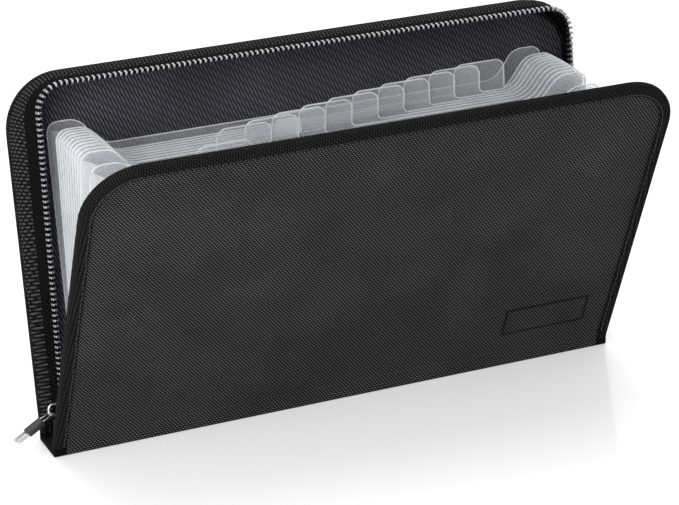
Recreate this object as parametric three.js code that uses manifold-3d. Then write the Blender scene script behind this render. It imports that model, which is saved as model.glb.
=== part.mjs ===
import * as THREE from 'three';
import { mergeVertices } from 'three/addons/utils/BufferGeometryUtils.js';
import Module from 'manifold-3d';

// A zip-around expanding file folder, standing open on its base. Millimetres, +Z up.
// The base lies on z = 0, centred on the origin. The front cover leans towards -Y and the back
// cover, which carries the deep gusset, leans towards +Y. Thirteen film pockets fan between them.

// Shell
const folderWidth = 262;
const coverHeight = 152;
const coverCornerRadius = 24;
const frontLean = 20.5;
const backLean = 11.7;
const baseDepth = 18;
const baseThickness = 2.2;
const baseEndMargin = 1.5;
const hingeSpacing = 14;
const hingeRise = 0.4;
const coverFoot = 1.1;
const panelThickness = 2.6;
const liningThickness = 0.5;
const layerGap = 0.3;

// Edge binding, folded round the rim of each cover
const bindingWall = 0.9;
const bindingReach = 5;

// Zip
const closedGapTop = 28.8;
const frontZipDepth = 6;
const zipSideInset = 9;
const frontZipTopInset = 7;
const backZipTopInset = 2.6;
const zipCornerRadius = 11;
const zipFoot = 7;
const zipTipClearance = 1.8;
const toothPitch = 2.32;
const toothWidth = 1.15;
const toothLength = 2.1;
const toothThickness = 2.4;
const beadDepth = 0.7;
const tapeThickness = 0.6;
const tapeDepth = 4.5;
const gussetThickness = 0.8;
const stopLength = 2;

// Slider and pull
const sliderLength = 8;
const sliderStart = 0.9;
const sliderWall = 0.9;
const sliderClearance = 0.35;
const bailThickness = 1.5;
const bailHeight = 4.6;
const bailWall = 0.9;
const bailFoot = 0.55;
const bailLength = 6;
const bailSetback = 0.9;
const pullLength = 19.5;
const pullWidth = 5.4;
const pullThickness = 1.2;
const pullRail = 1;
const pullDroop = 29;
const pullSag = 1.2;
const pullPlay = 0.35;
const sleeveLength = 7.5;
const sleeveWall = 0.4;
const sleeveStart = 5.2;
const sleeveGap = 0.1;

// Film pockets
const leafCount = 12;
const pleatRoom = 10;
const leafHalfWidth = folderWidth / 2 - zipSideInset - pleatRoom;
const earDrop = 20.5;
const earRise = 12;
const earWidth = 13;
const earSlope = 8;
const earFoot = leafHalfWidth - earWidth - earSlope;
const earRadius = 4;
const filmThickness = 0.3;
const leafFoot = 0.6;
const leafSpread = 7.2;
const leafBackLean = 6.8;
const bunchedLeaves = 10;
const bunchedStep = 1.15;
const looseStep = 5;
const tabWidth = 24.5;
const tabHeight = 12.5;
const tabRadius = 3;
const firstTabGap = 7.4;
const lastTabGap = 0.5;
const firstTabLeft = firstTabGap - earFoot;
const tabPitch = (2 * earFoot - firstTabGap - lastTabGap - tabWidth) / (leafCount - 1);
const pleatClearance = 0.4;
const pleatDepth = 4.8;
const pleatFoot = 14;
const pleatHeadDrop = 4;
const pleatRows = 6;
const pleatFootHalf = 0.8;
const pleatHeadHalf = 0.4;
const labelLeaf = 4;
const labelWidth = 12;
const labelHeight = 6;
const labelThickness = 0.2;
const labelMargin = 1.2;

const wasm = await Module();
wasm.setup();

const radians = THREE.MathUtils.degToRad;
const folder = new THREE.Group();

function material(color, roughness, metalness = 0) {
  return new THREE.MeshStandardMaterial({ color, roughness, metalness });
}

function add(group, name, geometry, finish) {
  const mesh = new THREE.Mesh(geometry, finish);
  mesh.name = name;
  group.add(mesh);
  return mesh;
}

// A closed mesh from points and triangles, turned so that its faces point out.
function closedGeometry(points, triangles) {
  let volume = 0;
  for (const [a, b, c] of triangles) {
    volume += points[a].dot(points[b].clone().cross(points[c]));
  }
  const index = triangles.flatMap(([a, b, c]) => (volume > 0 ? [a, b, c] : [a, c, b]));
  const geometry = new THREE.BufferGeometry();
  geometry.setAttribute('position', new THREE.Float32BufferAttribute(points.flatMap((p) => p.toArray()), 3));
  geometry.setIndex(index);
  geometry.computeVertexNormals();
  return geometry;
}

// Rings of equal point counts joined into one closed body, with a cap at each end.
function loft(rings, capTriangles) {
  const count = rings[0].length;
  const triangles = [];
  for (let i = 0; i + 1 < rings.length; i += 1) {
    for (let j = 0; j < count; j += 1) {
      const k = (j + 1) % count;
      const near = i * count;
      const far = near + count;
      triangles.push([near + j, near + k, far + k], [near + j, far + k, far + j]);
    }
  }
  const last = (rings.length - 1) * count;
  for (const [a, b, c] of capTriangles) {
    triangles.push([a, c, b], [last + a, last + b, last + c]);
  }
  return closedGeometry(rings.flat(), triangles);
}

// The triangles that fill a section, wound the same way as its outline.
function sectionCaps(section) {
  const outline = section.map(([x, y]) => new THREE.Vector2(x, y));
  const outlineSign = Math.sign(THREE.ShapeUtils.area(outline));
  return THREE.ShapeUtils.triangulateShape(outline, []).map(([a, b, c]) => {
    const same = Math.sign(THREE.ShapeUtils.area([outline[a], outline[b], outline[c]])) === outlineSign;
    return same ? [a, b, c] : [a, c, b];
  });
}

// A point of a cover: x across, up the cover, and depth inwards from its hinge plane.
function coverPoint(side, x, up, depth) {
  return new THREE.Vector3(x, side * depth, up);
}

// The rim line of a cover: up the left side, round the top corners and down the right side.
function rimPath(halfWidth, top, radius, foot) {
  const rise = top - radius - foot;
  const run = 2 * (halfWidth - radius);
  const arc = (Math.PI / 2) * radius;
  const corner = (side, angle) => ({
    x: side * (halfWidth - radius + radius * Math.cos(angle)),
    up: top - radius + radius * Math.sin(angle),
    nx: side * Math.cos(angle),
    nu: Math.sin(angle),
  });
  const at = (s) => {
    if (s <= rise) return { x: -halfWidth, up: foot + s, nx: -1, nu: 0 };
    if (s <= rise + arc) return corner(-1, (s - rise) / radius);
    if (s < rise + arc + run) return { x: s - rise - arc - run / 2, up: top, nx: 0, nu: 1 };
    if (s < rise + arc * 2 + run) return corner(1, (rise + arc * 2 + run - s) / radius);
    return { x: halfWidth, up: foot + (2 * rise + arc * 2 + run - s), nx: 1, nu: 0 };
  };
  // Stations that match between rims: equal shares of each side, corner and top.
  const stations = (sideSteps, cornerSteps, topSteps) => {
    const marks = [0];
    for (const [length, steps] of [
      [rise, sideSteps],
      [arc, cornerSteps],
      [run, topSteps],
      [arc, cornerSteps],
      [rise, sideSteps],
    ]) {
      const start = marks[marks.length - 1];
      for (let i = 1; i <= steps; i += 1) marks.push(start + (length * i) / steps);
    }
    return marks.map((s) => at(s));
  };
  return { at, stations, rise, length: 2 * rise + 2 * arc + run };
}

// A section of offsets (out from the rim, depth into the folder) carried along a rim.
function rimSweep(side, stations, section) {
  const rings = stations.map((r) =>
    section.map(([out, depth]) => coverPoint(side, r.x + r.nx * out, r.up + r.nu * out, depth)),
  );
  return loft(rings, sectionCaps(section));
}

// Covers

const hingeHeight = baseThickness + hingeRise;
const rimGrowth = bindingWall + layerGap;
const panelOuter = -panelThickness / 2;
const panelInner = panelThickness / 2;
const bindingOuter = panelOuter - layerGap - liningThickness;
const bindingInner = panelInner + layerGap + liningThickness;

function coverShape(inset, foot, radius) {
  const half = folderWidth / 2 - inset;
  const top = coverHeight - inset;
  const r = radius - inset;
  const shape = new THREE.Shape();
  shape.moveTo(-half, foot);
  shape.lineTo(half, foot);
  shape.lineTo(half, top - r);
  shape.absarc(half - r, top - r, r, 0, Math.PI / 2, false);
  shape.lineTo(-half + r, top);
  shape.absarc(-half + r, top - r, r, Math.PI / 2, Math.PI, false);
  shape.closePath();
  return shape;
}

// A flat outline laid in a cover's plane between two depths.
function layer(side, shape, fromDepth, toDepth) {
  const geometry = new THREE.ExtrudeGeometry(shape, {
    depth: toDepth - fromDepth,
    bevelEnabled: false,
    curveSegments: 8,
  });
  geometry.rotateX(Math.PI / 2);
  geometry.translate(0, side > 0 ? toDepth : -fromDepth, 0);
  return geometry;
}

function coverGroup(side, lean) {
  const group = new THREE.Group();
  group.position.set(0, (-side * hingeSpacing) / 2, hingeHeight);
  group.rotation.x = side * radians(lean);
  folder.add(group);
  return group;
}

function makeCover(group, side, label) {
  const panel = coverShape(rimGrowth, coverFoot, coverCornerRadius);
  add(group, `${label}_panel`, layer(side, panel, panelOuter, panelInner), material(0x262626, 0.62));

  const lining = coverShape(bindingReach + rimGrowth, coverFoot, coverCornerRadius);
  const liningGeometry = layer(side, lining, panelInner + layerGap, bindingInner);
  add(group, `${label}_lining`, liningGeometry, material(0x323137, 0.85));

  const reach = bindingReach - layerGap;
  const wallInner = -bindingWall;
  const section = [
    [-reach, bindingOuter],
    [0, bindingOuter],
    [0, bindingInner],
    [-reach, bindingInner],
    [-reach, panelInner + layerGap],
    [wallInner, panelInner + layerGap],
    [wallInner, panelOuter - layerGap],
    [-reach, panelOuter - layerGap],
  ];
  const rim = rimPath(folderWidth / 2, coverHeight, coverCornerRadius, coverFoot);
  const bindingGeometry = rimSweep(side, rim.stations(1, 8, 1), section);
  add(group, `${label}_binding`, bindingGeometry, material(0x141414, 0.7));
}

// Zip halves

const gapSlope = (closedGapTop - hingeSpacing) / coverHeight;

const frontTipDepth = () => frontZipDepth;

function backTipDepth(up) {
  return hingeSpacing + gapSlope * up - frontZipDepth - zipTipClearance;
}

// One comb of teeth on a bead, standing in the depth direction along the zip's rim line.
function toothChain(side, path, tipDepth, startShift) {
  const points = [];
  const triangles = [];
  const half = toothThickness / 2;
  const bottom = toothLength + beadDepth;
  const first = stopLength + startShift;
  const count = Math.floor((path.length - first - stopLength) / toothPitch);
  const put = (s, back, out) => {
    const r = path.at(s);
    points.push(coverPoint(side, r.x + r.nx * out, r.up + r.nu * out, tipDepth(r.up) - back));
    return points.length - 1;
  };
  const quad = (a, b, c, d) => triangles.push([a, b, c], [a, c, d]);
  let previous = null;
  for (let i = 0; i < count; i += 1) {
    const s = first + i * toothPitch;
    const edge = [-half, half].map((out) => ({
      foot: put(s, bottom, out),
      near: put(s, toothLength, out),
      far: put(s + toothWidth, toothLength, out),
      nearTip: put(s, 0, out),
      farTip: put(s + toothWidth, 0, out),
    }));
    const [inner, outer] = edge;
    quad(inner.nearTip, inner.farTip, outer.farTip, outer.nearTip);
    quad(inner.near, inner.nearTip, outer.nearTip, outer.near);
    quad(inner.farTip, inner.far, outer.far, outer.farTip);
    quad(inner.near, inner.far, inner.farTip, inner.nearTip);
    quad(outer.far, outer.near, outer.nearTip, outer.farTip);
    if (previous) {
      quad(previous[0].far, inner.near, outer.near, previous[1].far);
      quad(previous[1].foot, outer.foot, inner.foot, previous[0].foot);
      triangles.push([previous[0].foot, inner.foot, previous[0].far]);
      triangles.push([previous[0].foot, previous[0].far, previous[0].near]);
      triangles.push([inner.foot, inner.near, previous[0].far]);
      triangles.push([outer.foot, previous[1].foot, previous[1].far]);
      triangles.push([previous[1].foot, previous[1].near, previous[1].far]);
      triangles.push([outer.near, outer.foot, previous[1].far]);
    } else {
      quad(outer.near, outer.foot, inner.foot, inner.near);
    }
    previous = edge;
  }
  const [inner, outer] = previous;
  quad(inner.far, inner.foot, outer.foot, outer.far);
  triangles.push([inner.foot, inner.far, inner.near], [outer.foot, outer.near, outer.far]);
  return closedGeometry(points, triangles);
}

// A block over the end of a chain, which stops the slider.
function zipStop(side, path, tipDepth, start) {
  const half = toothThickness / 2;
  const rings = [start, start + stopLength - toothPitch / 2 - layerGap].map((s) => {
    const r = path.at(s);
    const tip = tipDepth(r.up);
    return [
      coverPoint(side, r.x - half, r.up, tip),
      coverPoint(side, r.x + half, r.up, tip),
      coverPoint(side, r.x + half, r.up, tip - toothLength - beadDepth),
      coverPoint(side, r.x - half, r.up, tip - toothLength - beadDepth),
    ];
  });
  return loft(rings, [[0, 1, 2], [0, 2, 3]]);
}

// The wall from the binding to the chain: a ruled band between two rims, of one thickness.
function wallBand(side, outerStations, innerStations, startDepth, endDepth, thickness) {
  const rings = outerStations.map((r, i) => {
    const e = innerStations[i];
    const start = startDepth(e.up);
    const end = endDepth(e.up);
    const across = Math.hypot(r.x - e.x, r.up - e.up);
    const slant = Math.hypot(across, end - start);
    const inset = (thickness * (end - start)) / slant;
    const rise = (thickness * across) / slant;
    return [
      coverPoint(side, r.x, r.up, start + rise),
      coverPoint(side, e.x, e.up, end),
      coverPoint(side, e.x - e.nx * inset, e.up - e.nu * inset, end - rise),
      coverPoint(side, r.x - r.nx * inset, r.up - r.nu * inset, start),
    ];
  });
  return loft(rings, [[0, 1, 2], [0, 2, 3]]);
}

const chainDepth = toothLength + beadDepth;
const wallStart = bindingInner + layerGap;
const bandSteps = [16, 8, 1];
const tooth = material(0x9a9a9c, 0.32, 0.9);
const tape = material(0x0c0c0d, 0.75);

function zipRim(topInset, foot = zipFoot) {
  const half = folderWidth / 2 - zipSideInset;
  return rimPath(half, coverHeight - topInset, zipCornerRadius, foot);
}

function makeFrontZip(group) {
  const rim = zipRim(frontZipTopInset);
  const stations = rim.stations(...bandSteps);
  const end = () => frontTipDepth() - chainDepth - layerGap;
  const wall = wallBand(1, stations, stations, () => wallStart, end, tapeThickness);
  add(group, 'front_zip_tape', wall, tape);
  const chain = toothChain(1, rim, frontTipDepth, toothPitch / 2);
  add(group, 'front_zip_teeth', chain, tooth);
}

function makeBackZip(group) {
  const rim = zipRim(backZipTopInset);
  const stations = rim.stations(...bandSteps);
  const edgeHalf = folderWidth / 2 - layerGap;
  const edge = rimPath(edgeHalf, coverHeight - layerGap, coverCornerRadius, zipFoot);
  const chainFoot = (up) => backTipDepth(up) - chainDepth;
  const gussetEnd = (up) => Math.max(wallStart + gussetThickness, chainFoot(up) - tapeDepth);
  const tapeStart = (up) => gussetEnd(up) + layerGap;
  const tapeEnd = (up) => chainFoot(up) - layerGap;
  const edgeStations = edge.stations(...bandSteps);
  const gusset = wallBand(-1, edgeStations, stations, () => wallStart, gussetEnd, gussetThickness);
  add(group, 'back_gusset', gusset, material(0x232324, 0.9));
  const zipTape = wallBand(-1, stations, stations, tapeStart, tapeEnd, tapeThickness);
  add(group, 'back_zip_tape', zipTape, tape);
  add(group, 'back_zip_teeth', toothChain(-1, rim, backTipDepth, 0), tooth);
  add(group, 'zip_bottom_stop', zipStop(-1, rim, backTipDepth, 0), tooth);
}

// Slider and pull, on the left stretch of the back chain

const plateInner = toothThickness / 2 + sliderClearance;
const plateOuter = plateInner + sliderWall;

// A point beside the left stretch of the back chain: along it, out from it, and back from the tips.
function chainPoint(path, s, out, back) {
  const r = path.at(s);
  return coverPoint(-1, r.x - out, r.up, backTipDepth(r.up) - back);
}

function toManifold(geometry) {
  const bare = geometry.clone();
  bare.deleteAttribute('normal');
  bare.deleteAttribute('uv');
  const merged = mergeVertices(bare, 1e-4);
  const vertProperties = new Float32Array(merged.attributes.position.array);
  const triVerts = new Uint32Array(merged.index.array);
  return new wasm.Manifold(new wasm.Mesh({ numProp: 3, vertProperties, triVerts }));
}

function fromManifold(solid) {
  const { vertProperties, triVerts } = solid.getMesh();
  const geometry = new THREE.BufferGeometry();
  geometry.setAttribute('position', new THREE.Float32BufferAttribute(vertProperties, 3));
  geometry.setIndex(Array.from(triVerts));
  geometry.computeVertexNormals();
  return geometry;
}

function roundedBar(half, radius, shape, low, high) {
  shape.moveTo(low, -half);
  shape.lineTo(high - radius, -half);
  shape.absarc(high - radius, -half + radius, radius, -Math.PI / 2, 0, false);
  shape.lineTo(high, half - radius);
  shape.absarc(high - radius, half - radius, radius, 0, Math.PI / 2, false);
  shape.lineTo(low, half);
  shape.closePath();
  return shape;
}

function makeSlider(group) {
  const path = zipRim(backZipTopInset);
  const section = [
    [plateOuter, chainDepth],
    [plateOuter, -sliderClearance - sliderWall],
    [-plateOuter, -sliderClearance - sliderWall],
    [-plateOuter, chainDepth],
    [-plateInner, chainDepth],
    [-plateInner, -sliderClearance],
    [plateInner, -sliderClearance],
    [plateInner, chainDepth],
  ];
  const rings = [sliderStart, sliderStart + sliderLength].map((s) =>
    section.map(([out, back]) => chainPoint(path, s, out, back)),
  );
  const channel = loft(rings, sectionCaps(section));

  // The bail is a loop across the outer plate: x is out from the plate, y runs along the chain.
  const overlap = sliderWall / 2;
  const loop = roundedBar(bailLength / 2, bailWall, new THREE.Shape(), -overlap, bailHeight);
  const eyeHalf = bailLength / 2 - bailWall;
  loop.holes.push(roundedBar(eyeHalf, bailWall / 2, new THREE.Path(), bailFoot, bailHeight - bailWall));
  const bail = new THREE.ExtrudeGeometry(loop, {
    depth: bailThickness,
    bevelEnabled: false,
    curveSegments: 4,
  });
  bail.translate(0, 0, -bailThickness / 2);
  const middle = sliderStart + sliderLength / 2;
  const foot = chainPoint(path, middle, plateOuter, bailSetback);
  const outward = new THREE.Vector3(-1, 0, 0);
  const along = new THREE.Vector3(0, 0, 1);
  const across = outward.clone().cross(along);
  bail.applyMatrix4(new THREE.Matrix4().makeBasis(outward, along, across).setPosition(foot));
  const body = fromManifold(toManifold(channel).add(toManifold(bail)));
  add(group, 'zip_slider', body, material(0x6d6d70, 0.3, 0.9));

  // The pull hangs from the loop by its end bar and droops outwards.
  const reach = bailHeight - bailWall - pullPlay - pullThickness / 2;
  const pull = new THREE.Group();
  const droop = radians(pullDroop);
  const length = outward.clone().multiplyScalar(Math.cos(droop)).addScaledVector(along, -Math.sin(droop));
  const face = length.clone().cross(across);
  const basis = new THREE.Matrix4().makeBasis(length, across, face);
  pull.quaternion.setFromRotationMatrix(basis);
  pull.position.copy(foot).addScaledVector(outward, reach).addScaledVector(along, -pullSag);
  group.add(pull);

  const low = -pullRail / 2;
  const high = pullLength - pullRail / 2;
  const outline = roundedBar(pullWidth / 2, pullRail / 2, new THREE.Shape(), low, high);
  const windowHalf = pullWidth / 2 - pullRail;
  const opening = roundedBar(windowHalf, pullRail / 4, new THREE.Path(), low + pullRail, high - pullRail);
  outline.holes.push(opening);
  const plate = new THREE.ExtrudeGeometry(outline, {
    depth: pullThickness,
    bevelEnabled: false,
    curveSegments: 3,
  });
  plate.translate(0, 0, -pullThickness / 2);
  add(pull, 'pull_frame', plate, material(0xa2a2a6, 0.28, 0.95));

  const sleeveHalf = [pullThickness / 2 + sleeveGap, pullWidth / 2 + sleeveGap];
  const rectangle = (shape, grow) => {
    const [x, y] = sleeveHalf.map((h) => h + grow);
    shape.moveTo(-x, -y);
    shape.lineTo(x, -y);
    shape.lineTo(x, y);
    shape.lineTo(-x, y);
    shape.closePath();
    return shape;
  };
  const tube = rectangle(new THREE.Shape(), sleeveWall);
  tube.holes.push(rectangle(new THREE.Path(), 0));
  const sleeve = new THREE.ExtrudeGeometry(tube, { depth: sleeveLength, bevelEnabled: false });
  sleeve.rotateY(Math.PI / 2);
  sleeve.translate(sleeveStart, 0, 0);
  add(pull, 'pull_sleeve', sleeve, material(0x1d1d1f, 0.55));
}

// Film pockets: their ears stop below the covers' top edge, and their edge and pleats below the ears.

const earHeight = coverHeight - earDrop;
const leafHeight = earHeight - earRise;
const pleatHead = earHeight - pleatHeadDrop;

// The outline of a pocket sheet: ears at both ends, a lower top edge between them and one tab.
function sheetShape(foot, tabLeft) {
  const shape = new THREE.Shape();
  const half = leafHalfWidth;
  shape.moveTo(-half, foot);
  shape.lineTo(half, foot);
  shape.lineTo(half, earHeight - earRadius);
  shape.absarc(half - earRadius, earHeight - earRadius, earRadius, 0, Math.PI / 2, false);
  shape.lineTo(half - earWidth, earHeight);
  shape.lineTo(earFoot, leafHeight);
  if (tabLeft !== null) {
    const right = tabLeft + tabWidth;
    const top = leafHeight + tabHeight;
    shape.lineTo(right, leafHeight);
    shape.lineTo(right, top - tabRadius);
    shape.absarc(right - tabRadius, top - tabRadius, tabRadius, 0, Math.PI / 2, false);
    shape.lineTo(tabLeft + tabRadius, top);
    shape.absarc(tabLeft + tabRadius, top - tabRadius, tabRadius, Math.PI / 2, Math.PI, false);
    shape.lineTo(tabLeft, leafHeight);
  }
  shape.lineTo(-earFoot, leafHeight);
  shape.lineTo(-half + earWidth, earHeight);
  shape.lineTo(-half + earRadius, earHeight);
  shape.absarc(-half + earRadius, earHeight - earRadius, earRadius, Math.PI / 2, Math.PI, false);
  shape.closePath();
  return shape;
}

const film = () => {
  const finish = material(0xe2e2ec, 0.25);
  finish.transparent = true;
  finish.opacity = 0.55;
  return finish;
};
const sheetDepth = wallStart;

function filmSheet(shape, low, high) {
  const geometry = new THREE.ExtrudeGeometry(shape, {
    depth: high - low,
    bevelEnabled: false,
    curveSegments: 4,
  });
  geometry.rotateX(Math.PI / 2);
  geometry.translate(0, high, 0);
  return geometry;
}

function leafLean(i) {
  const fromBack = leafCount - 1 - i;
  const bunched = Math.min(fromBack, bunchedLeaves - 1);
  return leafBackLean - bunched * bunchedStep - (fromBack - bunched) * looseStep;
}

function leafHinge(i) {
  return -leafSpread / 2 + (leafSpread * i) / (leafCount - 1);
}

function makeLeaves() {
  for (let i = 0; i < leafCount; i += 1) {
    const group = new THREE.Group();
    group.position.set(0, leafHinge(i), baseThickness);
    group.rotation.x = -radians(leafLean(i));
    folder.add(group);
    const tabLeft = firstTabLeft + tabPitch * i;
    const sheet = filmSheet(sheetShape(leafFoot, tabLeft), -filmThickness / 2, filmThickness / 2);
    add(group, `pocket_leaf_${String(i + 1).padStart(2, '0')}`, sheet, film());
    if (i === labelLeaf) {
      const label = new THREE.BoxGeometry(labelWidth, labelThickness, labelHeight);
      label.translate(
        tabLeft + labelMargin + labelWidth / 2,
        -filmThickness / 2 - labelThickness / 2 - sleeveGap,
        leafHeight + tabHeight / 2,
      );
      add(group, 'tab_label', label, material(0xf2f2f2, 0.8));
    }
  }
}

function makeEndSheet(group, side, name) {
  const sheet = filmSheet(sheetShape(coverFoot, null), 0, filmThickness);
  const from = side > 0 ? sheetDepth : -sheetDepth - filmThickness;
  sheet.translate(0, from, 0);
  add(group, name, sheet, film());
}

// The lines where the side pleats meet the sheets: a foot and a direction for each, front to back.
function foldLines() {
  const lines = [];
  const cover = (side, lean) => {
    const angle = side * radians(lean);
    const turned = new THREE.Vector3(0, side * (sheetDepth + filmThickness / 2), 0);
    turned.applyAxisAngle(new THREE.Vector3(1, 0, 0), angle);
    const foot = turned.add(new THREE.Vector3(0, (-side * hingeSpacing) / 2, hingeHeight));
    return { foot, rise: new THREE.Vector3(0, -Math.sin(angle), Math.cos(angle)) };
  };
  lines.push(cover(1, frontLean));
  for (let i = 0; i < leafCount; i += 1) {
    const angle = radians(leafLean(i));
    const foot = new THREE.Vector3(0, leafHinge(i), baseThickness);
    lines.push({ foot, rise: new THREE.Vector3(0, Math.sin(angle), Math.cos(angle)) });
  }
  lines.push(cover(-1, backLean));
  return lines;
}

// One strip of film folded to and fro between the sheets, closed from the foot to the head.
function pleatStrip(end) {
  const lines = foldLines();
  const inner = leafHalfWidth + pleatClearance + pleatFootHalf;
  const rows = Array.from({ length: pleatRows + 1 }, (_, row) => row / pleatRows);
  const rings = rows.map((share) => {
    const reach = pleatFoot + share * (pleatHead - pleatFoot);
    const half = pleatFootHalf + share * (pleatHeadHalf - pleatFootHalf);
    const points = lines.map((l) => l.foot.clone().addScaledVector(l.rise, reach));
    const folds = [];
    points.forEach((p, i) => {
      folds.push([inner, p]);
      if (i + 1 < points.length) {
        folds.push([inner + pleatDepth, p.clone().add(points[i + 1]).multiplyScalar(0.5)]);
      }
    });
    const outside = folds.map(([x, p]) => new THREE.Vector3(end * (x + half), p.y, p.z));
    const inside = folds.map(([x, p]) => new THREE.Vector3(end * (x - half), p.y, p.z));
    return [...outside, ...inside.reverse()];
  });
  const count = rings[0].length;
  const caps = [];
  for (let i = 0; i + 1 < count / 2; i += 1) {
    caps.push([i, i + 1, count - 2 - i], [i, count - 2 - i, count - 1 - i]);
  }
  return loft(rings, caps);
}

// Base

function makeBase() {
  const half = baseDepth / 2;
  const edge = baseThickness / 2;
  const section = new THREE.Shape();
  section.moveTo(-half + edge, 0);
  section.lineTo(half - edge, 0);
  section.absarc(half - edge, edge, edge, -Math.PI / 2, Math.PI / 2, false);
  section.lineTo(-half + edge, baseThickness);
  section.absarc(-half + edge, edge, edge, Math.PI / 2, (3 * Math.PI) / 2, false);
  const length = folderWidth - 2 * baseEndMargin;
  const geometry = new THREE.ExtrudeGeometry(section, {
    depth: length,
    bevelEnabled: false,
    curveSegments: 5,
  });
  geometry.translate(0, 0, -length / 2);
  // Extruded along X: the section's x becomes Y and its y becomes Z.
  const turn = new THREE.Matrix4().makeBasis(
    new THREE.Vector3(0, 1, 0),
    new THREE.Vector3(0, 0, 1),
    new THREE.Vector3(1, 0, 0),
  );
  geometry.applyMatrix4(turn);
  add(folder, 'base_spine', geometry, material(0x1a1a1a, 0.7));
}

const frontCover = coverGroup(1, frontLean);
const backCover = coverGroup(-1, backLean);
makeBase();
makeCover(frontCover, 1, 'front');
makeCover(backCover, -1, 'back');
makeFrontZip(frontCover);
makeBackZip(backCover);
makeSlider(backCover);
makeEndSheet(frontCover, 1, 'front_pocket_sheet');
makeLeaves();
makeEndSheet(backCover, -1, 'back_pocket_sheet');
add(folder, 'left_pleats', pleatStrip(-1), film());
add(folder, 'right_pleats', pleatStrip(1), film());

export default folder;
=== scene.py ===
import math

import bmesh
import bpy
from mathutils import Matrix, Vector


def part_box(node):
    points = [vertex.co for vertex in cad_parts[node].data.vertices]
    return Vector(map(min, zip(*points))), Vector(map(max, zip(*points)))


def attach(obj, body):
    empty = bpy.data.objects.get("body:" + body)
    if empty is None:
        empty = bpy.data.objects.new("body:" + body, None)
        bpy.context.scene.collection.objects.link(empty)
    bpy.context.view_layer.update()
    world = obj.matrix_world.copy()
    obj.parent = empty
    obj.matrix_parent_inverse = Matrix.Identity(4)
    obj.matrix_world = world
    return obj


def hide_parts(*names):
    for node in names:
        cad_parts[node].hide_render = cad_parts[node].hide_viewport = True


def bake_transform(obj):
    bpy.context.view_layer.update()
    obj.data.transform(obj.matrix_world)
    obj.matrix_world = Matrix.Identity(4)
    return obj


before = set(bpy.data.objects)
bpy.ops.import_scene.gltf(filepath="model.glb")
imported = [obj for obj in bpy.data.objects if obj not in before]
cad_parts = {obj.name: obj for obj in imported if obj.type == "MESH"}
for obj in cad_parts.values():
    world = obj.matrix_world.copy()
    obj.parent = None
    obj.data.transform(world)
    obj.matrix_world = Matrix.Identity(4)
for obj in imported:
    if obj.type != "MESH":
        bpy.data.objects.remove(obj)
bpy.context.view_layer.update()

mm = 0.001

# Sizes shared by several pieces, in millimetres
folder = {
    "half": 131.0, "height": 152.0, "corner": 24.0, "foot": 1.1,
    "frontLean": 20.5, "backLean": 11.7, "hinge": 7.0, "rise": 2.6,
    "bindingReach": 5.0, "innerFace": 2.1, "zipHalf": 122.0, "zipCorner": 11.0, "zipFoot": 7.0,
    "closedGap": 28.8, "frontSwing": 17.7, "backSwing": 8.9,
}

# A cover's own frame: x across, y inwards from the hinge plane, z up the cover
coverPlace = {
    "front": Matrix.Translation((0, -folder["hinge"] * mm, folder["rise"] * mm))
    @ Matrix.Rotation(math.radians(folder["frontLean"]), 4, "X"),
    "back": Matrix.Translation((0, folder["hinge"] * mm, folder["rise"] * mm))
    @ Matrix.Rotation(math.radians(-folder["backLean"]), 4, "X")
    @ Matrix.Rotation(math.pi, 4, "Z"),
}


def deselect():
    if bpy.context.mode != "OBJECT":
        bpy.ops.object.mode_set(mode="OBJECT")
    bpy.ops.object.select_all(action="DESELECT")


def pick(obj):
    deselect()
    obj.select_set(True)
    bpy.context.view_layer.objects.active = obj


def editMesh(obj, mode="VERT"):
    pick(obj)
    bpy.ops.object.mode_set(mode="EDIT")
    bpy.ops.mesh.select_mode(type=mode)
    bpy.ops.mesh.select_all(action="DESELECT")


def choose(obj, kind, test):
    bpy.ops.mesh.select_all(action="DESELECT")
    mesh = bmesh.from_edit_mesh(obj.data)
    for item in getattr(mesh, kind):
        if test(item):
            item.select_set(True)
    mesh.select_flush_mode()
    bmesh.update_edit_mesh(obj.data)


def middle(edge):
    return (edge.verts[0].co + edge.verts[1].co) / 2 / mm


def applyModifier(obj, kind, **settings):
    pick(obj)
    modifier = obj.modifiers.new(kind.title(), kind)
    for key, value in settings.items():
        setattr(modifier, key, value)
    bpy.ops.object.modifier_apply(modifier=modifier.name)


def settle(obj, place):
    pick(obj)
    obj.matrix_world = place @ obj.matrix_world
    bpy.context.view_layer.update()
    bpy.ops.object.transform_apply(location=True, rotation=True, scale=True)


def addBox(name, size, middleAt):
    deselect()
    bpy.ops.mesh.primitive_cube_add(size=1, location=[c * mm for c in middleAt])
    obj = bpy.context.object
    obj.name = name
    obj.scale = [c * mm for c in size]
    bpy.ops.object.transform_apply(location=True, rotation=True, scale=True)
    return obj


# An upright rectangle facing the front, y deep
def addCard(name, left, right, foot, top, y=0.0):
    deselect()
    place = ((left + right) / 2 * mm, y * mm, (foot + top) / 2 * mm)
    bpy.ops.mesh.primitive_plane_add(size=1, location=place, rotation=(math.radians(90), 0, 0))
    obj = bpy.context.object
    obj.name = name
    obj.scale = ((right - left) * mm, (top - foot) * mm, 1)
    bpy.ops.object.transform_apply(location=True, rotation=True, scale=True)
    return obj


def roundCorners(obj, test, radius, segments):
    editMesh(obj, "VERT")
    choose(obj, "verts", lambda v: test(v.co / mm))
    bpy.ops.mesh.bevel(offset=radius * mm, segments=segments, affect="VERTICES")
    bpy.ops.object.mode_set(mode="OBJECT")


def writeCloth(obj, rule):
    layer = obj.data.uv_layers.get("cloth") or obj.data.uv_layers.new(name="cloth")
    for face in obj.data.polygons:
        for corner in face.loop_indices:
            co = obj.data.vertices[obj.data.loops[corner].vertex_index].co / mm
            layer.data[corner].uv = rule(co, face.normal)


def smooth(obj, angle=35):
    pick(obj)
    bpy.ops.object.shade_smooth_by_angle(angle=math.radians(angle))


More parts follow.
